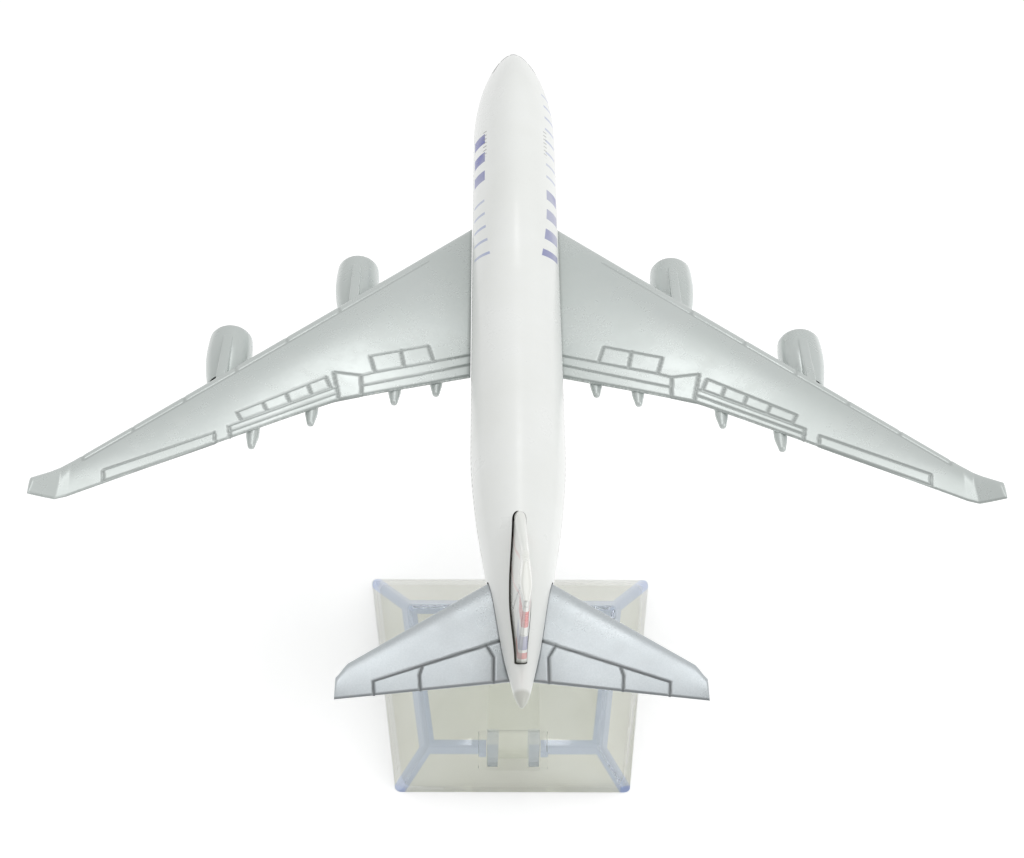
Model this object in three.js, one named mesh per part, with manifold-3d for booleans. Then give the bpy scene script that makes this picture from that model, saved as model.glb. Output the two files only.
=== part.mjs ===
// Desktop airliner model: a 16 cm die-cast airliner with four engines on a clear two-piece stand.
// Units are millimetres. The aircraft is drawn level, with +Y forward, +X to starboard and +Z up,
// and its nose close to y = 0. It is then pitched up a little and lifted onto the stand.
import * as THREE from 'three';
import { mergeVertices } from 'three/addons/utils/BufferGeometryUtils.js';
import Module from 'manifold-3d';

const wasm = await Module();
wasm.setup();

// ---- driving dimensions ----

const FIT = 0.15; // gap round a part that sits in its neighbour

// Fuselage
const NOSE_Y = 1.1;
const NOSE_Z = -1.6;
const FUSELAGE_LENGTH = 154.8;
const HALF_WIDTH = 7.36;
const HALF_HEIGHT = 7.5;
const UPPER_DECK_RISE = 2.7; // how far the upper deck stands above the main roof line
const UPPER_DECK_END = [50, 72]; // distance aft over which the upper deck fades out
const NOSE_LENGTH = 27;
const NOSE_FULLNESS = { width: 0.68, height: 0.55 };
const TAPER_START = 105; // distance aft of the nose where the tail starts to narrow
const TAIL_TIP_Z = 3.6;
const TAIL_TIP_RADIUS = 0.65;
const WALL = 1.5;
const CORE_RANGE = [21, 117]; // the hollow in the casting, as distances aft of the nose

// Belly casting and its seat in the fuselage
const BELLY_FRONT = -40;
const BELLY_REAR = -96;
const BELLY_TOP = -2.6;
const BELLY_KEEL = -8.6;
const BELLY_HALF_WIDTH = 7.35;
const BELLY_MIDDLE = -3.5;
const BELLY_ENDS = { half: 5, keel: -5.5 };
const BELLY_SQUARENESS = 0.55; // 1 is an ellipse, and less is squarer
const SCREW_STATIONS = [-46, -91.5];
const BOSS_RADIUS = 2.2;
const SCREW_RADIUS = 0.9;
const SCREW_HEAD_RADIUS = 1.9;
const SCREW_TOP = 2;

// Wings
const ROOT_X = 7.5;
const ROOT_LEADING = -44.5;
const ROOT_TRAILING = -80.7;
const LEADING_SLOPE = 1.02; // distance aft for each unit outboard, as are the next two
const INNER_TRAILING_SLOPE = 0.36;
const OUTER_TRAILING_SLOPE = 0.632;
const KINK_X = 29;
const KINK_SOFTNESS = 3;
const TIP_X = 69.3;
const WING_ROOT_Z = -4.7;
const DIHEDRAL = Math.tan(THREE.MathUtils.degToRad(5.1));
const INCIDENCE = 0.03; // rise of the leading edge as a share of half the chord
const ROOT_THICKNESS = 3.2;
const TIP_THICKNESS = 1.15;
const WINGLET = { out: 3.3, up: 3.1, leading: -112.2, trailing: -115.4, thickness: 0.8, lean: 0.9 };
const FAIRINGS = [[13.1, 2.1], [19.8, 2.4], [32.8, 2.7], [41.6, 3.1]]; // span, reach past the edge
const TAB = { inner: 3, front: -53, rear: -74, thickness: 1.4 };

// Engines: one side, mirrored to the other
const ENGINES = [{ x: 27.3, y: -51.3, z: -7.6 }, { x: 47.5, y: -71, z: -6.1 }];
const COWL_RADIUS = 3.75;
const COWL_LENGTH = 11.5;
const DUCT_RADIUS = 2.65;
const LIP_RADIUS = 0.33;
const COWL_BODY = [[3.52, -1.2], [3.68, -2.6], [COWL_RADIUS, -4.2], [COWL_RADIUS, -5.5],
  [3.6, -8.5], [2.95, -COWL_LENGTH]]; // [radius, y] behind the lip
const PYLON_WIDTH = 1.5;
const PYLON_OUTLINE = [[-2.6, 3], [-2.6, 3.55], [-5, 4], [-12.4, 5.5], [-20.5, 6], [-21, 5],
  [-14.5, 2.7], [-11, 2.8], [-6, 3]]; // [y, z] about the axis of the engine
const PEG = { radius: 0.5, length: 0.7, aft: 15.2 };

// Tail
const FIN = { root: 3.7, rootLeading: -117.2, rootTrailing: -146.6, tip: 31.2, tipLeading: -150.1,
  tipTrailing: -157.9, rootThickness: 2.2, tipThickness: 1.2 };
const TAILPLANE = { inner: 1.5, rootLeading: -128.2, rootTrailing: -147.9, rootZ: 1.7, tipX: 25.2,
  tipLeading: -148.5, tipTrailing: -153.3, tipZ: 4.9, rootThickness: 2.1, tipThickness: 0.9 };

// Stand
const PITCH = THREE.MathUtils.degToRad(5);
const SEAT = { y: -83.8, z: -7.7, height: 58 }; // the point of the aircraft held over the stand
const BASE_HEIGHT = 10;
const BASE_RIM = { front: 16.7, rear: -34.2, frontHalf: 26.3, rearHalf: 19.9 };
const BASE_TOP = { front: 0.3, rear: -32.6, frontHalf: 18.9 };
const BASE_WALL = 1.6;
const SLANT = { front: 1.6, side: 1.2 }; // the level width of a sloping wall for each unit of wall
const POST_FOOT_HALF = 4.4;
const POST_HEAD_HALF = 3.1;
const POST_THICKNESS = 3.4;
const FLANGE = 1.8;
const FOOT_DEPTH = 5; // how far the foot reaches below the top plate
const TONGUE = { width: 5, depth: 3, length: 5 };

// ---- colours ----

const GLOSS_WHITE = { color: 0xf2f3f0, roughness: 0.18, metalness: 0 };
const WING_GREY = { color: 0xbcc4c0, roughness: 0.35, metalness: 0.1 };
const TAIL_SILVER = { color: 0xc3c8ca, roughness: 0.35, metalness: 0.35 };
const FAN_GREY = { color: 0x54595c, roughness: 0.4, metalness: 0.5 };
const CORE_STEEL = { color: 0x8c9092, roughness: 0.35, metalness: 0.6 };
const SCREW_STEEL = { color: 0xa9acad, roughness: 0.3, metalness: 0.9 };
const CLEAR_PLASTIC = { color: 0xdfe3dc, roughness: 0.1, metalness: 0, transparent: true,
  opacity: 0.4 };

// ---- shared geometry helpers ----

const mix = THREE.MathUtils.lerp;
const ease = THREE.MathUtils.smoothstep;

// Turns a three.js geometry into a closed solid whose faces point outwards.
function solid(geometry) {
  const bare = geometry.clone();
  bare.deleteAttribute('normal');
  bare.deleteAttribute('uv');
  const merged = mergeVertices(bare, 1e-4);
  const places = merged.attributes.position;
  const corner = (i) => new THREE.Vector3().fromBufferAttribute(places, i);
  const triangles = [];
  let volume = 0;
  for (let i = 0; i < merged.index.count; i += 3) {
    const [a, b, c] = [0, 1, 2].map((k) => merged.index.getX(i + k));
    if (a === b || b === c || c === a) continue;
    triangles.push(a, b, c);
    volume += corner(a).dot(corner(b).cross(corner(c)));
  }
  if (volume < 0) triangles.reverse();
  return new wasm.Manifold(new wasm.Mesh({
    numProp: 3,
    vertProperties: Float32Array.from(places.array),
    triVerts: Uint32Array.from(triangles),
  }));
}

// A closed skin drawn over a row of sections. place(t, angle, rim) gives a point, where t runs
// from 0 at one end to 1 at the other and rim is 1 on the skin and 0 at the middle of a cap.
function loft(stations, around, place) {
  const tube = new THREE.CylinderGeometry(1, 1, 1, around, stations);
  const points = tube.attributes.position;
  for (let i = 0; i < points.count; i += 1) {
    const rim = Math.hypot(points.getX(i), points.getZ(i)) > 0.5 ? 1 : 0;
    const angle = Math.atan2(points.getZ(i), points.getX(i));
    points.setXYZ(i, ...place(0.5 - points.getY(i), angle, rim));
  }
  return solid(tube);
}

function box(x, y, z) {
  const size = [x, y, z].map(([low, high]) => high - low);
  const middle = [x, y, z].map(([low, high]) => (low + high) / 2);
  return solid(new THREE.BoxGeometry(...size).translate(...middle));
}

// A solid of revolution about the Y axis from [radius, y] pairs.
function turned(outline, segments) {
  return solid(new THREE.LatheGeometry(outline.map((p) => new THREE.Vector2(...p)), segments));
}

// A round post or hole along Z.
function upright(radius, low, high, x, y) {
  const cylinder = new THREE.CylinderGeometry(radius, radius, high - low, 20);
  return solid(cylinder.rotateX(Math.PI / 2).translate(x, y, (low + high) / 2));
}

// A flat outline of [y, z] pairs, given a width along X about the plane x = 0.
function plate(outline, width) {
  const shape = new THREE.Shape(outline.map((p) => new THREE.Vector2(...p)));
  const slab = new THREE.ExtrudeGeometry(shape, { depth: width, bevelEnabled: false });
  slab.translate(0, 0, -width / 2);
  slab.applyMatrix4(new THREE.Matrix4().makeBasis(
    new THREE.Vector3(0, 1, 0), new THREE.Vector3(0, 0, 1), new THREE.Vector3(1, 0, 0)));
  return solid(slab);
}

// Half the thickness of a symmetrical aerofoil at a share of its chord, for a thickness of 1.
function halfAerofoil(share) {
  const s = Math.min(Math.max(share, 0), 1);
  return 5 * (0.2969 * Math.sqrt(s) - 0.126 * s - 0.3516 * s ** 2 + 0.2843 * s ** 3
    - 0.1036 * s ** 4) + 0.14 * s;
}

// A skin over aerofoil sections. Each section has its leading and trailing edge, where its chord
// lies, its thickness and, for a surface that stands up, how far its thickness leans.
function aerofoilLoft(sections, around, grow = 0) {
  return loft(sections.length - 1, around, (t, angle, rim) => {
    const part = sections[Math.round(t * (sections.length - 1))];
    const share = rim ? (1 - Math.cos(angle)) / 2 : 0.5;
    const along = mix(part.leading + grow, part.trailing - grow, share);
    const side = rim * (Math.abs(Math.sin(angle)) < 1e-6 ? 0 : Math.sign(Math.sin(angle)));
    const thick = side * (part.thickness * halfAerofoil(share) + grow);
    const tilt = (0.5 - share) * (part.leading - part.trailing) * (part.incidence ?? 0);
    const lean = part.lean ?? 0;
    return [part.x - thick * Math.sin(lean), along, part.z + tilt + thick * Math.cos(lean)];
  });
}

// ---- fuselage ----

// Half width, middle, roof and keel of the fuselage at a distance aft of the nose.
function fuselageSection(aft) {
  const bluntness = aft < NOSE_LENGTH ? 1 - (1 - aft / NOSE_LENGTH) ** 2 : 1;
  const nose = bluntness ** NOSE_FULLNESS.height;
  const tail = Math.max(0, (aft - TAPER_START) / (FUSELAGE_LENGTH - TAPER_START));
  const deck = 1 - ease(aft, ...UPPER_DECK_END);
  const keel = mix(-HALF_HEIGHT, TAIL_TIP_Z - TAIL_TIP_RADIUS, tail ** 1.25);
  const roof = mix(HALF_HEIGHT, TAIL_TIP_Z + TAIL_TIP_RADIUS, tail ** 1.5);
  const middle = (keel + roof) / 2;
  return {
    half: bluntness ** NOSE_FULLNESS.width * mix(HALF_WIDTH, TAIL_TIP_RADIUS, tail ** 1.55),
    middle: mix(NOSE_Z, middle, nose),
    roof: mix(NOSE_Z, roof + deck * UPPER_DECK_RISE, nose),
    keel: mix(NOSE_Z, keel, nose),
    pinch: 0.12 * deck,
  };
}

function fuselagePoint(aft, angle, rim, inset) {
  const part = fuselageSection(aft);
  const up = Math.sin(angle);
  const reach = up > 0 ? part.roof - inset - part.middle : part.middle - part.keel - inset;
  const narrowing = up > 0 ? 1 - part.pinch * up ** 2 : 1;
  const x = rim * (part.half - inset) * Math.cos(angle) * narrowing;
  return [x, NOSE_Y - aft, part.middle + rim * reach * up];
}

function fuselageSkin() {
  return loft(36, 28, (t, angle, rim) => {
    const aft = FUSELAGE_LENGTH * (1 - Math.cos(Math.PI * t)) / 2;
    return fuselagePoint(aft, angle, rim, 0);
  });
}

function fuselageCore() {
  return loft(12, 20, (t, angle, rim) => fuselagePoint(mix(...CORE_RANGE, t), angle, rim, WALL));
}

function fuselageCasting(skin) {
  let casting = skin.subtract(fuselageCore());
  casting = casting.subtract(box([-20, 20], [BELLY_REAR, BELLY_FRONT], [-20, BELLY_TOP]));
  for (const y of SCREW_STATIONS) {
    casting = casting.add(upright(BOSS_RADIUS, BELLY_TOP, 12, 0, y).intersect(skin));
    casting = casting.subtract(upright(SCREW_RADIUS + FIT, BELLY_TOP - 1, SCREW_TOP + 1, 0, y));
  }
  casting = casting.subtract(finSolid(FIT));
  for (const side of [-1, 1]) casting = casting.subtract(tailplaneSolid(side, FIT));
  return casting;
}

// ---- belly casting with the socket for the stand ----

function bellyBulge() {
  return loft(16, 28, (t, angle, rim) => {
    const swell = Math.sin(Math.PI * t) ** 0.5;
    const square = (value) => Math.sign(value) * Math.abs(value) ** BELLY_SQUARENESS;
    const half = mix(BELLY_ENDS.half, BELLY_HALF_WIDTH, swell);
    const reach = mix(BELLY_ENDS.keel, BELLY_KEEL, swell) - BELLY_MIDDLE;
    return [rim * half * square(Math.cos(angle)), mix(BELLY_FRONT + 1, BELLY_REAR - 1, t),
      BELLY_MIDDLE - rim * reach * square(Math.sin(angle))];
  });
}

function wingTab(side, grow) {
  const reach = [TAB.inner - grow, ROOT_X + 1];
  const across = side > 0 ? reach : reach.map((x) => -x).reverse();
  const z = WING_ROOT_Z;
  return box(across, [TAB.rear - grow, TAB.front + grow],
    [z - TAB.thickness / 2 - grow, z + TAB.thickness / 2 + grow]);
}

function screwSolid(y, grow) {
  const head = BELLY_KEEL + 1;
  const outline = [[0, SCREW_TOP + grow], [SCREW_RADIUS + grow, SCREW_TOP + grow],
    [SCREW_RADIUS + grow, head + 1], [SCREW_HEAD_RADIUS + grow, head], [0, head]];
  const spin = new THREE.LatheGeometry(outline.map((p) => new THREE.Vector2(...p)), 20);
  return solid(spin.rotateX(Math.PI / 2).translate(0, y, 0));
}

function bellyCasting(skin) {
  const seat = box([-20, 20], [BELLY_REAR + FIT, BELLY_FRONT - FIT], [-20, BELLY_TOP - FIT]);
  let casting = skin.add(bellyBulge()).intersect(seat);
  for (const side of [-1, 1]) casting = casting.subtract(wingTab(side, FIT));
  for (const y of SCREW_STATIONS) {
    casting = casting.subtract(screwSolid(y, FIT));
    casting = casting.subtract(upright(SCREW_HEAD_RADIUS + FIT, -20, BELLY_KEEL + 1.05, 0, y));
  }
  const half = [TONGUE.width / 2 + 0.2, TONGUE.depth / 2 + 0.2];
  return casting.subtract(box([-half[0], half[0]], [SEAT.y - half[1], SEAT.y + half[1]], [-20, 0]));
}

// ---- wings ----

function wingSection(x) {
  const out = x - ROOT_X;
  const leading = ROOT_LEADING - LEADING_SLOPE * out;
  const inner = ROOT_TRAILING - INNER_TRAILING_SLOPE * out;
  const kink = ROOT_TRAILING - INNER_TRAILING_SLOPE * (KINK_X - ROOT_X);
  const outer = kink - OUTER_TRAILING_SLOPE * (x - KINK_X);
  const spread = Math.abs(inner - outer);
  const softening = Math.max(0, KINK_SOFTNESS - spread) ** 2 / (4 * KINK_SOFTNESS);
  return {
    x, leading, trailing: Math.min(inner, outer) - softening * 0.3,
    z: WING_ROOT_Z + DIHEDRAL * out, incidence: INCIDENCE,
    thickness: mix(ROOT_THICKNESS, TIP_THICKNESS, (out / (TIP_X - ROOT_X)) ** 0.8),
  };
}

function wingSections() {
  const spans = [ROOT_X, 14, 20, 25, KINK_X, 33, 40, 50, 60, TIP_X - 1.6];
  const sections = spans.map(wingSection);
  const tip = wingSection(TIP_X);
  sections.push({ ...tip, lean: WINGLET.lean / 2, z: tip.z + 0.25 });
  sections.push({
    x: TIP_X + WINGLET.out * 0.35, leading: mix(tip.leading, WINGLET.leading, 0.35),
    trailing: mix(tip.trailing, WINGLET.trailing, 0.35), z: tip.z + 0.25 + WINGLET.up * 0.3,
    thickness: mix(TIP_THICKNESS, WINGLET.thickness, 0.5), lean: WINGLET.lean,
  });
  sections.push({
    x: TIP_X + WINGLET.out, leading: WINGLET.leading, trailing: WINGLET.trailing,
    z: tip.z + WINGLET.up, thickness: WINGLET.thickness, lean: WINGLET.lean,
  });
  return sections;
}

function wingSkin(side, grow) {
  const sections = wingSections().map((part) => ({ ...part, x: side * part.x,
    lean: side * (part.lean ?? 0) }));
  return aerofoilLoft(sections, 24, grow);
}

// A canoe-shaped cover under the trailing edge, with its tip reaching past it.
function trackFairing(side, span, reach) {
  const { trailing, z } = wingSection(span);
  const canoe = new THREE.SphereGeometry(1, 10, 10).rotateX(Math.PI / 2);
  canoe.scale(1.05, 6, 1.3).translate(side * span, trailing - reach + 6, z - 1);
  return solid(canoe);
}

function pegPlace(engine) {
  return { y: engine.y - PEG.aft, ...underside(engine.x, engine.y - PEG.aft) };
}

// The height of a wing's lower face at a span and a distance forward.
function underside(span, y) {
  const part = wingSection(span);
  const share = (part.leading - y) / (part.leading - part.trailing);
  const tilt = (0.5 - share) * (part.leading - part.trailing) * INCIDENCE;
  return { low: part.z + tilt - part.thickness * halfAerofoil(share) };
}

function wingSolid(side) {
  let wing = wingSkin(side, 0).add(wingTab(side, 0));
  for (const [span, reach] of FAIRINGS) wing = wing.add(trackFairing(side, span, reach));
  for (const engine of ENGINES) {
    const peg = pegPlace(engine);
    const hole = upright(PEG.radius + 0.1, peg.low - 2, peg.low + PEG.length + 0.1,
      side * engine.x, peg.y);
    wing = wing.subtract(hole);
  }
  return wing;
}

// ---- engines, drawn about their own axis with the intake lip at y = 0 ----

function cowlOutline() {
  const outline = [];
  const middle = DUCT_RADIUS + LIP_RADIUS;
  for (let step = 0; step <= 6; step += 1) {
    const angle = Math.PI * step / 6;
    outline.push([middle - LIP_RADIUS * Math.cos(angle), LIP_RADIUS * (Math.sin(angle) - 1)]);
  }
  outline.push(...COWL_BODY, [DUCT_RADIUS, -COWL_LENGTH], [DUCT_RADIUS, -LIP_RADIUS]);
  return outline;
}

function nacelleSolid(side, engine) {
  const pylon = plate(PYLON_OUTLINE, PYLON_WIDTH);
  let nacelle = turned(cowlOutline(), 24).add(pylon);
  nacelle = nacelle.translate(side * engine.x, engine.y, engine.z);
  nacelle = nacelle.subtract(wingSkin(side, FIT));
  const peg = pegPlace(engine);
  return biggest(nacelle).add(upright(PEG.radius, peg.low - 1.2, peg.low + PEG.length,
    side * engine.x, peg.y));
}

// Keeps the largest piece where a cut leaves a loose sliver.
function biggest(body) {
  return body.decompose().sort((a, b) => b.volume() - a.volume())[0];
}

function fanSolid(side, engine) {
  const rim = DUCT_RADIUS - 0.1;
  const outline = [[0, -1.3], [0.45, -1.9], [0.8, -2.8], [rim, -3], [rim, -4], [0, -4]];
  return turned(outline, 24).translate(side * engine.x, engine.y, engine.z);
}

function coreSolid(side, engine) {
  const rim = DUCT_RADIUS - 0.1;
  const outline = [[0, -4.2], [1.6, -4.2], [2.1, -8.6], [rim, -8.8], [rim, -9.6], [2.15, -9.8],
    [1.55, -14], [1.1, -14], [0, -16]];
  return turned(outline, 24).translate(side * engine.x, engine.y, engine.z);
}

// ---- tail ----

function finSolid(grow) {
  const sections = [0, 0.35, 0.7, 1].map((t) => ({
    leading: mix(FIN.rootLeading, FIN.tipLeading, t), z: 0,
    trailing: mix(FIN.rootTrailing, FIN.tipTrailing, t),
    x: mix(FIN.root - grow, FIN.tip, t),
    thickness: mix(FIN.rootThickness, FIN.tipThickness, t),
  }));
  const flat = aerofoilLoft(sections, 24, grow);
  return flat.rotate([0, -90, 0]);
}

function tailplaneSolid(side, grow) {
  const sections = [0, 0.4, 0.94, 1].map((t) => ({
    x: side * mix(TAILPLANE.inner - grow, TAILPLANE.tipX, t),
    leading: mix(TAILPLANE.rootLeading, TAILPLANE.tipLeading, t) - (t === 1 ? 1.2 : 0),
    trailing: mix(TAILPLANE.rootTrailing, TAILPLANE.tipTrailing, t),
    z: mix(TAILPLANE.rootZ, TAILPLANE.tipZ, t),
    thickness: mix(TAILPLANE.rootThickness, TAILPLANE.tipThickness, t),
  }));
  return aerofoilLoft(sections, 20, grow);
}

// ---- stand, drawn about the point on the table under the seat ----

// The base tapers from its rim to its top plate, and inset moves every face inwards.
function baseBlock(inset, low, high) {
  const rimDepth = BASE_RIM.front - BASE_RIM.rear;
  const splay = (BASE_RIM.frontHalf - BASE_RIM.rearHalf) / rimDepth;
  return loft(1, 4, (t, angle, rim) => {
    const level = mix(high, low, t);
    const rise = level / BASE_HEIGHT;
    const front = mix(BASE_RIM.front, BASE_TOP.front, rise);
    const rear = mix(BASE_RIM.rear, BASE_TOP.rear, rise);
    const frontHalf = mix(BASE_RIM.frontHalf, BASE_TOP.frontHalf, rise);
    const ahead = Math.sin(angle + Math.PI / 4) > 0;
    const side = Math.cos(angle + Math.PI / 4) > 0 ? 1 : -1;
    const y = ahead ? front - inset * SLANT.front : rear + inset;
    const half = frontHalf - splay * (front - y) - inset * SLANT.side;
    return rim ? [side * half, y, level] : [0, (front + rear) / 2, level];
  });
}

function footPlace() {
  const rear = mix(BASE_RIM.rear, BASE_TOP.rear, 1 - FOOT_DEPTH / BASE_HEIGHT) + 0.5;
  return { rear, front: rear + POST_THICKNESS, low: BASE_HEIGHT - FOOT_DEPTH };
}

function standBase() {
  const foot = footPlace();
  const shell = baseBlock(0, 0, BASE_HEIGHT)
    .subtract(baseBlock(BASE_WALL, -1, BASE_HEIGHT - BASE_WALL));
  const half = POST_FOOT_HALF + FIT;
  const housing = box([-half - 1.3, half + 1.3], [foot.rear - 1, foot.front + FIT + 1.3],
    [foot.low - FIT - 1.2, BASE_HEIGHT - 0.2]).intersect(baseBlock(0, 0, BASE_HEIGHT));
  const pocket = box([-half, half], [foot.rear - 5, foot.front + FIT],
    [foot.low - FIT, BASE_HEIGHT + 5]);
  return shell.add(housing).subtract(pocket);
}

// The head of the post lies square to the belly of the pitched aircraft.
function headPoint(y, z) {
  const [dy, dz] = [y - SEAT.y, z - SEAT.z];
  return [dy * Math.cos(PITCH) - dz * Math.sin(PITCH),
    dy * Math.sin(PITCH) + dz * Math.cos(PITCH) + SEAT.height];
}

function standPost() {
  const foot = footPlace();
  const table = BELLY_KEEL - FIT;
  const outline = [[foot.rear, foot.low], [foot.front, foot.low],
    [foot.front, BASE_HEIGHT + 1.5], headPoint(SEAT.y + 2.6, table - 2.6),
    headPoint(SEAT.y + 2.6, table), headPoint(SEAT.y - 2.6, table),
    headPoint(SEAT.y - 2.6, table - 1.2), [foot.rear, BASE_HEIGHT + 2.5]];
  const bar = plate(outline, 2 * POST_FOOT_HALF);
  const groove = [[foot.rear - 3, foot.low - 1], [foot.front - 1.5, foot.low - 1],
    [foot.front - 1.5, BASE_HEIGHT + 2], headPoint(SEAT.y - 1.2, table - 4.5),
    headPoint(SEAT.y - 6, table - 4.5), [foot.rear - 3, BASE_HEIGHT + 2]];
  const channel = plate(groove, 2 * (POST_FOOT_HALF - FLANGE));
  const tongue = plate([headPoint(SEAT.y - TONGUE.depth / 2, table - 1),
    headPoint(SEAT.y + TONGUE.depth / 2, table - 1),
    headPoint(SEAT.y + TONGUE.depth / 2 - 0.2, table + TONGUE.length),
    headPoint(SEAT.y - TONGUE.depth / 2 + 0.2, table + TONGUE.length)], TONGUE.width);
  const tapered = bar.subtract(channel).warp((point) => {
    const rise = ease(point[2], BASE_HEIGHT, SEAT.height);
    point[0] *= mix(1, POST_HEAD_HALF / POST_FOOT_HALF, rise);
  });
  return tapered.add(tongue);
}

// ---- assembly ----

function part(name, body, look) {
  const mesh = body.getMesh();
  const geometry = new THREE.BufferGeometry();
  geometry.setAttribute('position', new THREE.BufferAttribute(mesh.vertProperties, 3));
  geometry.setIndex(new THREE.BufferAttribute(mesh.triVerts, 1));
  const piece = new THREE.Mesh(geometry, new THREE.MeshStandardMaterial(look));
  piece.name = name;
  return piece;
}

function airframe() {
  const group = new THREE.Group();
  const skin = fuselageSkin();
  group.add(part('fuselage_casting', fuselageCasting(skin), GLOSS_WHITE));
  group.add(part('belly_casting', bellyCasting(skin), WING_GREY));
  group.add(part('tail_fin', finSolid(0), GLOSS_WHITE));
  group.add(part('front_screw', screwSolid(SCREW_STATIONS[0], 0), SCREW_STEEL));
  group.add(part('rear_screw', screwSolid(SCREW_STATIONS[1], 0), SCREW_STEEL));
  for (const [side, hand] of [[-1, 'left'], [1, 'right']]) {
    group.add(part(`${hand}_wing`, wingSolid(side), WING_GREY));
    group.add(part(`${hand}_tailplane`, tailplaneSolid(side, 0), TAIL_SILVER));
    for (const [index, place] of ['inner', 'outer'].entries()) {
      const name = `${hand}_${place}`;
      const engine = ENGINES[index];
      group.add(part(`${name}_nacelle`, nacelleSolid(side, engine), WING_GREY));
      group.add(part(`${name}_fan`, fanSolid(side, engine), FAN_GREY));
      group.add(part(`${name}_exhaust`, coreSolid(side, engine), CORE_STEEL));
    }
  }
  group.position.set(0, -SEAT.y, -SEAT.z);
  const pitched = new THREE.Group();
  pitched.add(group);
  pitched.rotation.x = PITCH;
  pitched.position.z = SEAT.height;
  return pitched;
}

const model = new THREE.Group();
model.add(airframe());
model.add(part('stand_base', standBase(), CLEAR_PLASTIC));
model.add(part('stand_post', standPost(), CLEAR_PLASTIC));

// The origin is on the table, under the middle of the whole model.
const overall = new THREE.Box3().setFromObject(model);
model.position.y = -(overall.min.y + overall.max.y) / 2;

export default model;
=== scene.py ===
"""Looks for a desktop airliner model: a die-cast airliner with four engines on a clear stand.

Sizes are in millimetres and turned into metres as each piece is placed. The aircraft is drawn
level, with +Y forward from its nose, +X to starboard and +Z up, and is then pitched up onto its
stand. The stand is drawn about the point of the table under the seat.
"""
import math

import bmesh
import bpy
import numpy as np
from mathutils import Matrix, Vector


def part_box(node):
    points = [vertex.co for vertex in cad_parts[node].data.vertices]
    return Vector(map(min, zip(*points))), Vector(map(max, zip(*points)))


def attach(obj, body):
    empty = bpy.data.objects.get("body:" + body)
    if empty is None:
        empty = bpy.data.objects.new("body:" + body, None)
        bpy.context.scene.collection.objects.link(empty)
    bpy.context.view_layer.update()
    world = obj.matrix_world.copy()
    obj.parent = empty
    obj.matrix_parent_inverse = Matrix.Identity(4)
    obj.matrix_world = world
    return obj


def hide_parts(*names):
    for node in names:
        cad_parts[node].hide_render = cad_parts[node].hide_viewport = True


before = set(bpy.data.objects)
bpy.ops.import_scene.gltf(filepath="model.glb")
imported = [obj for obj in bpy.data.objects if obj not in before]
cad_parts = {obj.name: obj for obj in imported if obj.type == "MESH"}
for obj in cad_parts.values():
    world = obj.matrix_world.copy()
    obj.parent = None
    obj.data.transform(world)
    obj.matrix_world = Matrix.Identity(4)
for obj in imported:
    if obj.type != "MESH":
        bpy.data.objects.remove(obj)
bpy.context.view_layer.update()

# ---- driving dimensions ----

MM = 0.001
PITCH = math.radians(5)
SEAT_Y = -83.8
SEAT_Z = -7.7
SEAT_HEIGHT = 58

BASE_HEIGHT = 10
BASE_RIM_FRONT = 16.7
BASE_RIM_REAR = -34.2
BASE_TOP_FRONT = 0.3
BASE_TOP_REAR = -32.6
BASE_HALF_FRONT = 26.3
BASE_HALF_REAR = 19.9
BASE_TOP_HALF = 18.9
BASE_WALL = 1.6
SLANT_FRONT, SLANT_SIDE = 1.6, 1.2  # the level width of a sloping wall for each unit of wall
POST_HALF_WIDTH = 4.4
POST_HEAD_HALF_WIDTH = 3.1
POST_CHANNEL = 5.2
TONGUE_WIDTH = 5
SEAT_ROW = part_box("stand_base")[1].y / MM - BASE_RIM_FRONT

NOSE_Y = 1.1
NOSE_Z = -1.6
LENGTH = 154.8
HALF_WIDTH = 7.36
HALF_HEIGHT = 7.5
DECK_RISE = 2.7
DECK_END = (50, 72)
NOSE_LENGTH = 27
TAPER_START = 105
TAIL_Z = 3.6
TAIL_RADIUS = 0.65
TAIL_ROUNDING = 2.4

BELLY_FRONT = -40
BELLY_REAR = -96
BELLY_TOP = -2.6
BELLY_KEEL = -8.6
BELLY_MIDDLE = -3.5
BELLY_END_HALF = 5
BELLY_END_KEEL = -5.5
BELLY_SQUARENESS = 0.55  # 1 is an ellipse, and less is squarer
SOCKET_HALF_WIDTH = 2.7
SOCKET_HALF_DEPTH = 1.7
CASTING_GAP = 0.15
SCREW_STATIONS = (-46, -91.5)
SCREW_HEAD_RADIUS = 1.9

ROOT_X = 7.5
ROOT_LEADING = -44.5
ROOT_TRAILING = -80.7
LEADING_SLOPE = 1.02
INNER_SLOPE = 0.36
OUTER_SLOPE = 0.632
KINK_X = 29
KINK_SOFTNESS = 3
TIP_X = 69.3
WING_ROOT_Z = -4.7
DIHEDRAL = math.tan(math.radians(5.1))
INCIDENCE = 0.03
ROOT_THICKNESS = 3.2
TIP_THICKNESS = 1.15
WINGLET_LENGTH = 3.3
WINGLET_LEADING = (-107.54, -112.2)
WINGLET_TRAILING = (-113.91, -115.4)
FAIRINGS = ((13.1, 2.1), (19.8, 2.4), (32.8, 2.7), (41.6, 3.1))

ENGINES = {"inner": (27.3, -51.3, -7.6), "outer": (47.5, -71, -6.1)}
COWL_RADIUS = 3.75
DUCT_RADIUS = 2.65
LIP_RADIUS = 0.33

# (root, tip) pairs of span, leading edge, trailing edge, height and thickness
FIN = ((3.7, 31.2), (-117.2, -150.1), (-146.6, -157.9), (0, 0), (2.9, 1.4))
TAILPLANE = ((1.5, 25.2), (-128.2, -148.5), (-147.9, -153.3), (1.7, 4.9), (2.1, 0.9))
TAILPLANE_SLOT_GAP = 0.3
FIN_SLOT_GAP = 0.17
FIN_LEAN = 0.12  # the fin stands a little to starboard in its slot

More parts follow.
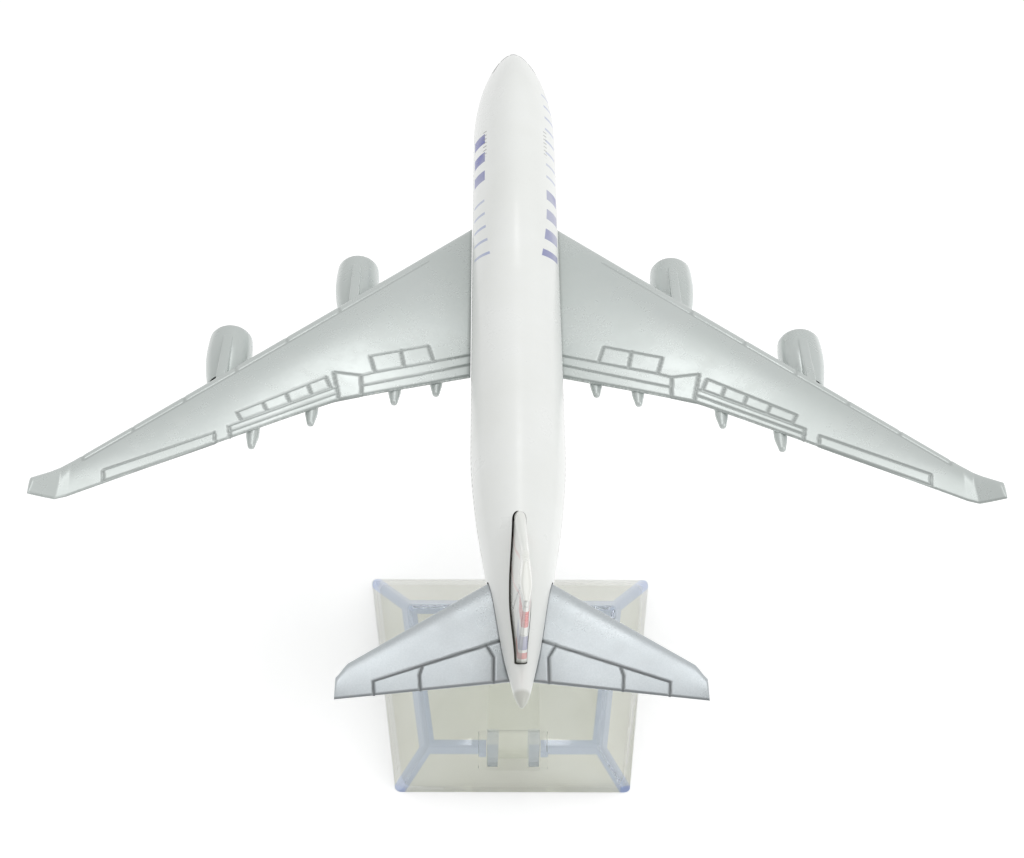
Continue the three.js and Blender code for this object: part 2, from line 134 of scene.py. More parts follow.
CAMERA_LENS = 67.93
CAMERA_PLACE = (-0.005735, 0.243158, 0.260628)  # beside, behind and above the seat, in metres
CAMERA_HEADING, CAMERA_DIP, CAMERA_ROLL = -1.2146, 40.624, 1.113

# ---- placing ----

ONTO_STAND = (Matrix.Scale(MM, 4) @ Matrix.Translation((0, SEAT_ROW, SEAT_HEIGHT))
              @ Matrix.Rotation(PITCH, 4, "X") @ Matrix.Translation((0, -SEAT_Y, -SEAT_Z)))
ONTO_TABLE = Matrix.Scale(MM, 4) @ Matrix.Translation((0, SEAT_ROW, 0))


def lerp(low, high, share):
    return low + (high - low) * share


def smooth(value, low, high):
    share = np.clip((value - low) / (high - low), 0, 1)
    return share * share * (3 - 2 * share)


def to_object(bm, name):
    mesh = bpy.data.meshes.new(name)
    bm.to_mesh(mesh)
    bm.free()
    piece = bpy.data.objects.new(name, mesh)
    bpy.context.scene.collection.objects.link(piece)
    return piece


def combine(piece, other, operation):
    """Cuts, joins or keeps the overlap of two closed shells, and removes the second."""
    step = piece.modifiers.new("combine", "BOOLEAN")
    step.material_mode = "TRANSFER"
    step.operation = operation
    step.solver = "EXACT"
    step.object = other
    view = bpy.context.evaluated_depsgraph_get()
    done = bpy.data.meshes.new_from_object(piece.evaluated_get(view))
    piece.modifiers.clear()
    spare = piece.data
    piece.data = done
    bpy.data.meshes.remove(spare)
    bpy.data.objects.remove(other)
    return piece


def finish_piece(piece, node, body, material, place, sharp=38):
    """Places a piece, gives it its material unless it has some, and ties it to the frame."""
    piece.data.transform(place)
    if not any(piece.data.materials):
        piece.data.materials.clear()
        piece.data.materials.append(material)
        piece.data.polygons.foreach_set("material_index", [0] * len(piece.data.polygons))
    piece.data.polygons.foreach_set("use_smooth", [True] * len(piece.data.polygons))
    piece.data.set_sharp_from_angle(angle=math.radians(sharp))
    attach(piece, body)
    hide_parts(node)
    return piece


# ---- shape helpers ----


def bent_grid(rows, around, place):
    """A flat grid bent into a closed skin. place gets each point's two shares as arrays, and gives
    its x, y, z and the painted shade it gets, kept in the groove layer: darker the deeper it lies
    in an engraved line, and near gaps and edges."""
    bm = bmesh.new()
    bmesh.ops.create_grid(bm, x_segments=rows, y_segments=around, size=0.5)
    flat = np.array([vert.co[:2] for vert in bm.verts]) + 0.5
    x, y, z, groove_shade = np.broadcast_arrays(*place(flat[:, 0], flat[:, 1]))
    layer = bm.verts.layers.float.new("groove")
    for vert, *point, depth in zip(bm.verts, x, y, z, groove_shade):
        vert.co = point
        vert[layer] = depth
    bmesh.ops.remove_doubles(bm, verts=bm.verts, dist=2e-4)
    bmesh.ops.recalc_face_normals(bm, faces=bm.faces)
    if bm.calc_volume(signed=True) < 0:
        bmesh.ops.reverse_faces(bm, faces=bm.faces)
    return bm


def turned(outline, axis, steps=48):
    """Spins a profile of (radius, along) pairs about the Y or Z axis through the origin."""
    bm = bmesh.new()
    bm.verts.layers.float.new("groove")
    verts = []
    for radius, along in outline:
        verts.append(bm.verts.new((radius, along, 0) if axis == "Y" else (radius, 0, along)))
    edges = [bm.edges.new(pair) for pair in zip(verts, verts[1:])]
    bmesh.ops.spin(bm, geom=verts + edges, cent=(0, 0, 0), dvec=(0, 0, 0), use_merge=True,
                   axis=(0, 1, 0) if axis == "Y" else (0, 0, 1), angle=math.tau, steps=steps)
    bmesh.ops.remove_doubles(bm, verts=bm.verts, dist=1e-4)
    bmesh.ops.recalc_face_normals(bm, faces=bm.faces)
    return bm


def round_edges(bm, edges, radius, segments):
    bmesh.ops.bevel(bm, geom=edges, offset=radius, affect="EDGES", segments=segments,
                    profile=0.5, material=-1)


def block(low, high, bevel=0, segments=2):
    bm = bmesh.new()
    bmesh.ops.create_cube(bm, size=1)
    size = Vector(high) - Vector(low)
    bmesh.ops.scale(bm, verts=bm.verts, vec=size)
    bmesh.ops.translate(bm, verts=bm.verts, vec=(Vector(low) + Vector(high)) / 2)
    if bevel:
        round_edges(bm, bm.edges[:], bevel, segments)
    return bm


def plate(outline, width, bevel=0, segments=3):
    """A flat outline of (y, z) pairs, given a width along X and rounded edges."""
    bm = bmesh.new()
    face = bm.faces.new([bm.verts.new((-width / 2, y, z)) for y, z in outline])
    grown = bmesh.ops.extrude_face_region(bm, geom=[face])["geom"]
    moved = [part for part in grown if isinstance(part, bmesh.types.BMVert)]
    bmesh.ops.translate(bm, verts=moved, vec=(width, 0, 0))
    bmesh.ops.recalc_face_normals(bm, faces=bm.faces)
    if bevel:
        round_edges(bm, bm.edges[:], bevel, segments)
    return bm


def join(target, extra):
    """Adds one bmesh to another, keeping the painted-shade values of the groove layer."""
    spare = bpy.data.meshes.new("spare")
    extra.to_mesh(spare)
    extra.free()
    target.from_mesh(spare)
    bpy.data.meshes.remove(spare)
    return target


def mirrored(bm):
    bmesh.ops.scale(bm, verts=bm.verts, vec=(-1, 1, 1))
    bmesh.ops.reverse_faces(bm, faces=bm.faces)
    return bm


def half_aerofoil(share):
    s = np.clip(share, 0, 1)
    curve = 0.2969 * np.sqrt(s) - 0.126 * s - 0.3516 * s ** 2 + 0.2843 * s ** 3 - 0.1036 * s ** 4
    return 5 * curve + 0.14 * s


def half_slab(share):
    """Half the thickness of a plate with a round front edge, widest just behind its middle."""
    nose = np.sqrt(1 - (1 - np.clip(share / 0.06, 0, 1)) ** 2)
    return 0.5 * nose * lerp(0.62, 1, smooth(share, 0, 0.55)) * lerp(1, 0.5, smooth(share, 0.6, 1))


def line_depth(x, y, lines, half_width):
    """How deep each point lies in a set of engraved lines, from 0 beside them to 1 inside."""
    nearest = np.full(x.shape, 1e3)
    for x1, y1, x2, y2 in lines:
        dx, dy = x2 - x1, y2 - y1
        share = np.clip(((x - x1) * dx + (y - y1) * dy) / (dx * dx + dy * dy), 0, 1)
        nearest = np.minimum(nearest, np.hypot(x - x1 - share * dx, y - y1 - share * dy))
    return 1 - smooth(nearest, half_width * 0.35, half_width)


def outline_lines(*points):
    """Line segments from point to point, back to the first."""
    return [(*a, *b) for a, b in zip(points, points[1:] + points[:1])]


# ---- fuselage ----


def fuselage_section(aft):
    blunt = np.where(aft < NOSE_LENGTH, 1 - (1 - np.minimum(aft / NOSE_LENGTH, 1)) ** 2, 1)
    nose = np.maximum(blunt, 0) ** 0.55
    tail = np.maximum(0, (aft - TAPER_START) / (LENGTH - TAPER_START))
    deck = 1 - smooth(aft, *DECK_END)
    keel = lerp(-HALF_HEIGHT, TAIL_Z - TAIL_RADIUS, tail ** 1.25)
    roof = lerp(HALF_HEIGHT, TAIL_Z + TAIL_RADIUS, tail ** 1.5)
    middle = lerp(NOSE_Z, (keel + roof) / 2, nose)
    half = np.maximum(blunt, 0) ** 0.68 * lerp(HALF_WIDTH, TAIL_RADIUS, tail ** 1.55)
    roof = lerp(NOSE_Z, roof + deck * DECK_RISE, nose)
    keel = lerp(NOSE_Z, keel, nose)
    return half, middle, roof, keel, 0.12 * deck


def fuselage_shell(rows, around):
    def place(along, turn):
        aft = LENGTH * (1 - np.cos(math.pi * along)) / 2
        half, middle, roof, keel, pinch = fuselage_section(aft)
        end = np.clip((aft - LENGTH + TAIL_ROUNDING) / TAIL_ROUNDING, 0, 1)
        rim = np.sqrt(1 - end ** 2)
        angle = math.tau * turn
        up = np.sin(angle)
        reach = np.where(up > 0, roof - middle, middle - keel)
        x = rim * half * np.cos(angle) * np.where(up > 0, 1 - pinch * up ** 2, 1)
        return x, NOSE_Y - aft, middle + rim * reach * up, 0
    return bent_grid(rows, around, place)


def fuselage_casting(skin, painted_slot_shade):
    piece = to_object(fuselage_shell(230, 112), "fuselage_shell")
    piece.data.materials.append(skin)
    seat = to_object(block((-20, BELLY_REAR, -20), (20, BELLY_FRONT, BELLY_TOP)), "seat")
    seat.data.materials.append(skin)
    combine(piece, seat, "DIFFERENCE")

    def cut(slot):
        cutter = to_object(slot, "slot")
        # The walls cut by this cutter take the grey painted-shade material.
        cutter.data.materials.append(painted_slot_shade)
        combine(piece, cutter, "DIFFERENCE")

    slot = fin_shell(90, FIN_SLOT_GAP, 96)
    bmesh.ops.translate(slot, verts=slot.verts, vec=(-FIN_LEAN, 0, 0))
    cut(slot)
    for side in (-1, 1):
        slot = tailplane_shell(40, TAILPLANE_SLOT_GAP, plain=True)
        if side < 0:
            mirrored(slot)
        cut(slot)
    return piece


# ---- belly casting ----


def belly_bulge():
    def place(along, turn):
        swell = np.sqrt(np.maximum(np.sin(math.pi * along), 0))
        angle = math.tau * turn
        across = np.sign(np.cos(angle)) * np.abs(np.cos(angle)) ** BELLY_SQUARENESS
        up = np.sign(np.sin(angle)) * np.abs(np.sin(angle)) ** BELLY_SQUARENESS
        rim = np.minimum(1, np.sqrt(np.maximum(0, 1 - (2 * along - 1) ** 20)))
        half = lerp(BELLY_END_HALF, HALF_WIDTH - 0.01, swell)
        reach = lerp(BELLY_END_KEEL, BELLY_KEEL, swell) - BELLY_MIDDLE
        y = lerp(BELLY_FRONT + 1, BELLY_REAR - 1, along)
        return rim * half * across, y, BELLY_MIDDLE - rim * reach * up, 0
    return bent_grid(90, 80, place)


def belly_casting():
    piece = to_object(belly_bulge(), "belly_pan")
    combine(piece, to_object(fuselage_shell(140, 72), "shell"), "UNION")
    keep = block((-20, BELLY_REAR + CASTING_GAP, -20),
                 (20, BELLY_FRONT - CASTING_GAP, BELLY_TOP - CASTING_GAP))
    combine(piece, to_object(keep, "keep"), "INTERSECT")
    wide = SCREW_HEAD_RADIUS + CASTING_GAP
    for station in SCREW_STATIONS:
        well = turned(((0, -20), (wide, -20), (wide, -7.55), (1.1, -6.5), (1.1, 0), (0, 0)), "Z")
        bmesh.ops.translate(well, verts=well.verts, vec=(0, station, 0))
        combine(piece, to_object(well, "well"), "DIFFERENCE")
    socket = block((-SOCKET_HALF_WIDTH, SEAT_Y - SOCKET_HALF_DEPTH, -20),
                   (SOCKET_HALF_WIDTH, SEAT_Y + SOCKET_HALF_DEPTH, 0))
    return combine(piece, to_object(socket, "socket"), "DIFFERENCE")


def cross_screw(station):
    outline = ((0, 2), (0.7, 2), (0.9, 1.8), (0.9, -6.5), (1.8, -7.35), (SCREW_HEAD_RADIUS, -7.5),
               (1.7, -7.75), (1, -7.95), (0, -8))
    piece = to_object(turned(outline, "Z"), "screw")
    for size in ((1.15, 0.22), (0.22, 1.15)):
        slot = block((-size[0], -size[1], -8.5), (size[0], size[1], -7.2))
        combine(piece, to_object(slot, "slot"), "DIFFERENCE")
    piece.data.transform(Matrix.Translation((0, station, 0)))
    return piece


# ---- wings ----

SPOILERS = (
    outline_lines((14.5, -75.3), (23.9, -78.8), (23, -82.1), (13.5, -78.6))
    + [(19, -76.8, 18.3, -80.4)]
    + outline_lines((30.8, -84.2), (44.2, -93.4), (43.4, -94.9), (29.9, -86.3))
    + [(33.6, -86.1, 32.8, -88.2), (36.9, -88.4, 36.1, -90.3), (40.4, -90.8, 39.6, -92.5)])
FLAPS = [
    (7.4, -76.4, 13.5, -78.6), (23, -82.1, 25.1, -83.1), (7.4, -78.4, 24.8, -85.1),
    (28.9, -85.9, 45.2, -96.3), (28.7, -87.1, 45.1, -97.4), (28.5, -88.5, 44.7, -98.8),
    (45.2, -96.3, 44.5, -99.8)]
AILERONS = (
    outline_lines((25.2, -83.1), (29.6, -83), (28.5, -88.4), (24.9, -87.2))
    + outline_lines((47.3, -97.9), (63, -107.5), (62.8, -109.5), (47, -99.7)))
SLAT_BREAKS = (29.3, 37.4, 45, 52.4, 59.5, 66.2)


def leading_edge(x):
    return ROOT_LEADING - LEADING_SLOPE * (x - ROOT_X)


def slat_line(x):
    return leading_edge(x) - lerp(2.8, 1.7, (x - 15) / 51)


def slat_lines():
    lines = [(15, slat_line(15), 66.2, slat_line(66.2))]
    for x in SLAT_BREAKS:
        lines.append((x, slat_line(x), x + 0.9, slat_line(x) + 4))
    return lines


def wing_stations(x):
    """Edges, height, thickness and lean of the wing at each span, with its upturned tip."""
    plain = np.minimum(x, TIP_X)
    out = plain - ROOT_X
    leading = leading_edge(plain)
    inner = ROOT_TRAILING - INNER_SLOPE * out
    kink = ROOT_TRAILING - INNER_SLOPE * (KINK_X - ROOT_X)
    outer = kink - OUTER_SLOPE * (plain - KINK_X)
    soft = np.maximum(0, KINK_SOFTNESS - np.abs(inner - outer)) ** 2 / (4 * KINK_SOFTNESS)
    trailing = np.minimum(inner, outer) - soft * 0.3
    z = WING_ROOT_Z + DIHEDRAL * out
    outward = (np.maximum(out, 0) / (TIP_X - ROOT_X)) ** 0.8
    thickness = lerp(ROOT_THICKNESS, TIP_THICKNESS, outward)
    beyond = np.maximum(x - TIP_X, 0)
    share = np.clip(beyond / WINGLET_LENGTH, 0, 1)
    leading = np.where(beyond > 0, lerp(*WINGLET_LEADING, share), leading)
    trailing = np.where(beyond > 0, lerp(*WINGLET_TRAILING, share), trailing)
    rise = np.interp(x, [TIP_X - 1.6, TIP_X, TIP_X + 1.155, TIP_X + WINGLET_LENGTH],
                     [0, 0.25, 1.18, 3.1])
    thickness = np.where(beyond > 0, lerp(TIP_THICKNESS, 0.8, share), thickness)
    lean = np.interp(x, [TIP_X - 1.6, TIP_X, TIP_X + 1.155], [0, 0.45, 0.9])
    tilt = INCIDENCE * (1 - smooth(x, TIP_X - 1.6, TIP_X + 1.2))
    return leading, trailing, z + rise, thickness, lean, tilt


def upper_rows(w, chord, band, nose):
    """Distance ahead of the trailing edge, with close rows along both edges."""
    rear = w / 0.6 * band
    centre = lerp(band, chord - nose, (w - 0.6) / 0.2)
    front = chord - nose * np.maximum(0, 1 - (w - 0.8) / 0.2) ** 1.5
    return np.where(w < 0.6, rear, np.where(w < 0.8, centre, front))


def surface_point(ahead, chord, upper, station, fade, depth, profile=half_aerofoil):
    """One point of an aerofoil skin with a blunt trailing edge."""
    _, trailing, z, thickness, lean, tilt = station
    share = 1 - ahead / chord
    blunt = np.sqrt(1 - (1 - np.clip(ahead / 0.3, 0, 1)) ** 2)
    thick = fade * (thickness * profile(share) * blunt) * np.where(upper, 1, -1)
    thick = thick - np.where(upper, depth, 0)
    raised = z + (0.5 - share) * chord * tilt
    return thick * np.sin(lean), trailing + ahead, raised + thick * np.cos(lean)


def end_fade(index, count, rounded):
    """Closes the root flat and rounds the tip over the last few rows."""
    tip = np.sqrt(np.clip(1 - ((index - (count - rounded)) / rounded) ** 2, 0, 1))
    fade = np.where(index > count - rounded, tip, 1)
    return np.where(index == 0, 0, fade)


def wing_shell():
    inner = np.linspace(ROOT_X, TIP_X - 1.6, 316)
    outer = np.linspace(TIP_X - 1.6, TIP_X + 3, 26)[1:]
    end = TIP_X + 3 + 0.3 * np.sin(np.linspace(0, math.pi / 2, 7)[1:])
    spans = np.concatenate([[ROOT_X], inner, outer, end])
    rows, upper_share = len(spans) - 1, 0.8
    lines = SPOILERS + FLAPS + AILERONS
    slats = slat_lines()

    def place(along, turn):
        index = np.rint(along * rows).astype(int)
        x = spans[index]
        station = wing_stations(x)
        chord = station[0] - station[1]
        upper = turn <= upper_share
        band = np.minimum(8.8, 0.6 * chord)
        nose = np.minimum(3.4, 0.3 * chord)
        above = upper_rows(np.minimum(turn / upper_share, 1), chord, band, nose)
        under = np.clip((1 - turn) / (1 - upper_share), 0, 1)
        ahead = np.where(upper, above, chord * (1 - np.cos(math.pi * under)) / 2)
        y = station[1] + ahead
        depth = np.maximum(line_depth(x, y, lines, 0.27), 0.5 * line_depth(x, y, slats, 0.3))
        # Painted shade along the gap at the wing root, kept in the groove layer.
        root = (1 - smooth(x, ROOT_X + 0.05, ROOT_X + 0.55)) * 0.8
        fade = end_fade(index, rows, 7)
        dx, y, z = surface_point(ahead, chord, upper, station, fade, 0.2 * depth * fade)
        # Painted shade along the rounded trailing edge; the upper skin's groove layer takes the
        # strongest of engraved lines, root gap and trailing edge.
        edge = 0.8 * (1 - smooth(ahead, 0.1, 0.5))
        groove_shade = np.where(upper, np.maximum(np.maximum(depth, root), edge), 0)
        return x - dx, y, z, groove_shade
    return bent_grid(rows, 160, place)


def track_fairing(span, reach):
    """A canoe under the trailing edge whose narrow end reaches past it."""
    leading, trailing, z, _, _, tilt = (value[0] for value in wing_stations(np.array([span])))
    top = z - 0.5 * (leading - trailing) * tilt

    def place(along, turn):
        front = np.sqrt(np.clip(along / 0.45, 0, 1))
        rear = 1 - 0.48 * smooth(along, 0.72, 1)
        rounded = np.sqrt(np.clip(1 - ((along - 0.94) / 0.06) ** 2, 0, 1))
        size = front * rear * np.where(along > 0.94, rounded, 1)
        angle = math.tau * turn
        y = trailing - reach + 12 * (1 - along)
        x = span + 1.05 * size * np.cos(angle)
        # Each fairing gets an even light painted shade in the groove layer, for its place under
        # the wing.
        return x, y, top - 1.05 + (1.1 - 0.2 * along) * size * np.sin(angle), 0.22
    return bent_grid(36, 24, place)


def wing(side):
    bm = wing_shell()
    for span, reach in FAIRINGS:
        join(bm, track_fairing(span, reach))
    if side < 0:
        mirrored(bm)
    return to_object(bm, "wing_panel")


# ---- tail ----


def tail_shell(sections, rows, around, rounded, grow, lines=(), profile=half_aerofoil):
    """A tail surface from root and tip figures, drawn flat with its span along X."""
    (root, tip), (lead_root, lead_tip), (trail_root, trail_tip), (low, high), thick = sections
    root = root - grow

    def place(along, turn):
        index = np.rint(along * rows).astype(int)
        share = np.clip((index - 1) / (rows - rounded - 1), 0, 1)
        extra = np.clip((index - (rows - rounded)) / rounded, 0, 1)
        corner = 0.5 * (thick[1] + grow)
        x = lerp(root, tip - corner, share) + corner * np.sin(extra * math.pi / 2)
        part = (x - root) / (tip - root)
        leading = lerp(lead_root, lead_tip, part) + grow - 1.2 * smooth(part, 0.93, 1)
        trailing = lerp(trail_root, trail_tip, part) - grow
        chord = leading - trailing
        station = (leading, trailing, lerp(low, high, part), lerp(*thick, part), 0 * x, 0 * x)
        angle = math.tau * turn
        ahead = chord * (1 + np.cos(angle - math.pi)) / 2
        upper = turn <= 0.5
        y = trailing + ahead
        depth = line_depth(x, y, lines, 0.25) if lines else 0 * x
        fade = end_fade(index, rows, rounded)
        _, y, z = surface_point(ahead, chord, upper, station, fade, 0.16 * depth * fade, profile)
        z = z + grow * fade * np.where(upper, 1, -1) * np.where(ahead > 0, 1, 0)
        # Painted shade along the trailing edge and in the engraved lines goes into the groove
        # layer; a slot cutter gets full painted shade.
        edge = 0.75 * (1 - smooth(ahead, 0.08, 0.4))
        return x, y, z, 1.0 if grow else np.where(upper, np.maximum(depth, edge), 0)
    return bent_grid(rows, around, place)


def fin_shell(rows, grow, around=72, lines=()):
    bm = tail_shell(FIN, rows, around, 8, grow, lines, half_slab)
    bmesh.ops.rotate(bm, verts=bm.verts, matrix=Matrix.Rotation(-math.pi / 2, 3, "Y"))
    return bm


RUDDER = [(6.5, -139, 29, -153.6), (29, -153.6, 29.3, -159), (17, -145.8, 17.4, -153.6)]


def tail_fin():
    bm = fin_shell(190, 0, 220, RUDDER)
    return to_object(bm, "fin_panel")


ELEVATOR = [
    (2.4, -141.4, 20.1, -150), (20.1, -150, 19.9, -152.6), (4.8, -142.5, 3.75, -144.4),
    (3.75, -144.4, 3.8, -148.8), (13.5, -146.8, 13.9, -148.4), (13.9, -148.4, 13.7, -151)]


def tailplane_shell(rows, grow, plain=False):
    lines = () if plain else ELEVATOR
    return tail_shell(TAILPLANE, rows, 48 if plain else 260, 8, grow, lines)


def tailplane(side):
    bm = tailplane_shell(170, 0)
    if side < 0:
        mirrored(bm)
    return to_object(bm, "tailplane_panel")


# ---- engines ----


def cowl_outline():
    outline = []
    for step in range(11):
        angle = math.pi * step / 10
        outline.append((DUCT_RADIUS + LIP_RADIUS * (1 - math.cos(angle)),
                        LIP_RADIUS * (math.sin(angle) - 1)))
    for aft in (0.6, 1, 1.5, 2, 2.6, 3.4, 4.2, 5, 6, 7, 8, 9, 10, 10.8, 11.3):
        bulge = math.sqrt(1 - max(0, 1 - aft / 5) ** 2)
        radius = lerp(3.31, COWL_RADIUS, bulge) - 0.8 * max(0, (aft - 5) / 6.5) ** 1.6
        outline.append((radius, -aft))
    outline += [(2.93, -11.5), (2.72, -11.5), (DUCT_RADIUS, -11.3), (DUCT_RADIUS, -6),
                (DUCT_RADIUS, -LIP_RADIUS)]
    return outline


def nacelle(side, place):
    bm = turned(cowl_outline(), "Y", 72)
    ridge = ((-2.5, 2.9), (-2.6, 3.55), (-3.3, 3.9), (-5, 4.15), (-9, 4.6), (-12.8, 5.3),
             (-18.5, 5.2), (-19, 4.4), (-14.5, 2.5), (-11, 2.7), (-6, 2.9))
    pylon = plate(ridge, 1.55, 0.32, 4)
    pylon.verts.layers.float.new("groove")
    join(bm, pylon)
    bmesh.ops.translate(bm, verts=bm.verts, vec=(side * place[0], place[1], place[2]))
    return to_object(bm, "cowl")


def fan(side, place):
    hub = turned(((0, -1.15), (0.2, -1.2), (0.45, -1.5), (0.68, -2.1), (0.8, -2.8), (0.8, -3.5),
                  (2.55, -3.5), (2.55, -4), (0, -4)), "Y", 40)
    blade = bmesh.new()
    bmesh.ops.create_grid(blade, x_segments=3, y_segments=6, size=0.5)
    for vert in blade.verts:
        radius = lerp(0.7, 2.56, vert.co.y + 0.5)
        twist = lerp(0.6, 1.05, vert.co.y + 0.5)
        across = vert.co.x * lerp(0.55, 0.85, vert.co.y + 0.5)
        vert.co = (across * math.sin(twist), -3 - across * math.cos(twist), radius)
    bmesh.ops.solidify(blade, geom=blade.faces[:], thickness=0.05)
    bmesh.ops.spin(blade, geom=blade.verts[:] + blade.edges[:] + blade.faces[:], steps=21,
                   cent=(0, 0, 0), axis=(0, 1, 0), angle=math.tau * 21 / 22, dvec=(0, 0, 0),
                   use_duplicate=True, use_merge=False)
    join(hub, blade)
    bmesh.ops.translate(hub, verts=hub.verts, vec=(side * place[0], place[1], place[2]))
    return to_object(hub, "fan_rotor")


def exhaust(side, place):
    outline = ((0, -4.3), (1.6, -4.3), (2.05, -7), (2.1, -8.6), (2.55, -8.8), (2.55, -9.4),
               (2.2, -9.8), (2.12, -10.6), (1.95, -12), (1.72, -13.2), (1.58, -13.8),
               (1.5, -13.85), (1.45, -13.6), (1.4, -12.9), (1.05, -12.9), (0.95, -13.6),
               (0.6, -14.9), (0.2, -15.8), (0, -15.95))
    bm = turned(outline, "Y", 56)
    bmesh.ops.translate(bm, verts=bm.verts, vec=(side * place[0], place[1], place[2]))
    return to_object(bm, "core")


# ---- stand ----


def base_block(inset, low, high, corner, edge):
    """The low frustum, with every face moved inwards by an inset."""
    bm = bmesh.new()
    bmesh.ops.create_cube(bm, size=2)
    for vert in bm.verts:
        level = high if vert.co.z > 0 else low
        rise = level / BASE_HEIGHT
        front = lerp(BASE_RIM_FRONT, BASE_TOP_FRONT, rise)
        rear = lerp(BASE_RIM_REAR, BASE_TOP_REAR, rise)
        half = lerp(BASE_HALF_FRONT, BASE_TOP_HALF, rise)
        y = front - inset * SLANT_FRONT if vert.co.y > 0 else rear + inset
        splay = (BASE_HALF_FRONT - BASE_HALF_REAR) / (BASE_RIM_FRONT - BASE_RIM_REAR)
        half = half - splay * (front - y) - inset * SLANT_SIDE
        vert.co = (math.copysign(half, vert.co.x), y, level)
    upright = [e for e in bm.edges if abs(e.verts[0].co.z - e.verts[1].co.z) > 1]
    round_edges(bm, upright, corner, 6)
    top = [e for e in bm.edges if min(v.co.z for v in e.verts) > high - 1e-4]
    round_edges(bm, top, edge, 3)
    return bm


def foot_rear():
    return lerp(BASE_RIM_REAR, BASE_TOP_REAR, 0.5) + 0.5


def stand_base():
    rear = foot_rear()
    piece = to_object(base_block(0, 0, BASE_HEIGHT, 0.9, 0.3), "base_shell")
    hollow = base_block(BASE_WALL, -1, BASE_HEIGHT - BASE_WALL, 0.5, 0.25)
    combine(piece, to_object(hollow, "hollow"), "DIFFERENCE")
    housing = block((-5.85, rear - 0.6, 3.65), (5.85, rear + 4.85, 8.9), 0.3)
    combine(piece, to_object(housing, "housing"), "UNION")
    pocket = block((-4.55, rear - 5, 4.85), (4.55, rear + 3.55, 20))
    return combine(piece, to_object(pocket, "pocket"), "DIFFERENCE")


def head_point(y, z):
    dy, dz = y - SEAT_Y, z - SEAT_Z
    return (dy * math.cos(PITCH) - dz * math.sin(PITCH),
            dy * math.sin(PITCH) + dz * math.cos(PITCH) + SEAT_HEIGHT)


def stand_post():
    rear = foot_rear()
    front = rear + 3.4
    table = BELLY_KEEL - CASTING_GAP
    bar = plate(((rear, 5), (front, 5), (front, 11.5), head_point(SEAT_Y + 2.6, table - 2.6),
                 head_point(SEAT_Y + 2.6, table), head_point(SEAT_Y - 2.6, table),
                 head_point(SEAT_Y - 2.6, table - 1.2), (rear, 12.5)),
                2 * POST_HALF_WIDTH, 0.22, 2)
    groove = plate(((rear - 3, 4), (front - 1.5, 4), (front - 1.5, 12),
                    head_point(SEAT_Y - 1.2, table - 4.5), head_point(SEAT_Y - 6, table - 4.5),
                    (rear - 3, 12)), POST_CHANNEL, 0.2, 2)
    piece = combine(to_object(bar, "bar"), to_object(groove, "channel"), "DIFFERENCE")
    for vert in piece.data.vertices:
        rise = float(smooth(vert.co.z, BASE_HEIGHT, SEAT_HEIGHT))
        vert.co.x *= lerp(1, POST_HEAD_HALF_WIDTH / POST_HALF_WIDTH, rise)
    tongue = plate((head_point(SEAT_Y - 1.5, table - 1), head_point(SEAT_Y + 1.5, table - 1),
                    head_point(SEAT_Y + 1.3, table + 5), head_point(SEAT_Y - 1.3, table + 5)),
                   TONGUE_WIDTH, 0.2, 2)
    return combine(piece, to_object(tongue, "tongue"), "UNION")


# ---- material helpers ----


def linear(red, green, blue):
    """A colour given on the 0 to 255 display scale, as the shader wants it."""
    shares = [value / 255 for value in (red, green, blue)]
    return [s / 12.92 if s <= 0.04045 else ((s + 0.055) / 1.055) ** 2.4 for s in shares] + [1]


def add(tree, kind, inputs=None, **settings):
    node = tree.nodes.new(kind)
    for name, value in settings.items():
        setattr(node, name, value)
    for name, value in (inputs or {}).items():
        if isinstance(value, bpy.types.NodeSocket):
            tree.links.new(value, node.inputs[name])
        else:
            node.inputs[name].default_value = value
    return node


def math_node(tree, operation, first, second=0.0, third=0.0):
    inputs = {0: first, 1: second, 2: third}
    return add(tree, "ShaderNodeMath", inputs, operation=operation).outputs[0]


def blend_colour(tree, mask, base, over):
    mix = add(tree, "ShaderNodeMix", {0: mask, 6: base, 7: over}, data_type="RGBA")
    return mix.outputs[2]


def map_range(tree, value, low, high, start, end):
    inputs = {"Value": value, "From Min": low, "From Max": high, "To Min": start, "To Max": end}
    return add(tree, "ShaderNodeMapRange", inputs).outputs["Result"]


def new_group(name, inputs, outputs):
    group = bpy.data.node_groups.new(name, "ShaderNodeTree")
    for label, kind, value in inputs:
        socket = group.interface.new_socket(label, in_out="INPUT", socket_type=kind)
        if value is not None:
            socket.default_value = value
    for label, kind in outputs:
        group.interface.new_socket(label, in_out="OUTPUT", socket_type=kind)
    return group, group.nodes.new("NodeGroupInput"), group.nodes.new("NodeGroupOutput")


def use_group(tree, group, inputs):
    node = tree.nodes.new("ShaderNodeGroup")
    node.node_tree = group
    for name, value in inputs.items():
        if isinstance(value, bpy.types.NodeSocket):
            tree.links.new(value, node.inputs[name])
        else:
            node.inputs[name].default_value = value
    return node


FLOAT = "NodeSocketFloat"
VECTOR = "NodeSocketVector"


def soft_band(group, off, given):
    """1 out to the half width of a band, fading over its soft edge."""
    edge = math_node(group, "ADD", given["Half Width"], given["Soft"])
    return map_range(group, off, given["Half Width"], edge, 1.0, 0.0)


def stripe_group():
    """1 inside a stripe about a centre, with soft edges."""
    group, start, end = new_group("stripe", [("Value", FLOAT, 0.0), ("Centre", FLOAT, 0.0),
                                             ("Half Width", FLOAT, 1.0), ("Soft", FLOAT, 0.06)],
                                  [("Mask", FLOAT)])
    off = math_node(group, "SUBTRACT", start.outputs["Value"], start.outputs["Centre"])
    off = math_node(group, "ABSOLUTE", off)
    group.links.new(soft_band(group, off, start.outputs), end.inputs["Mask"])
    return group


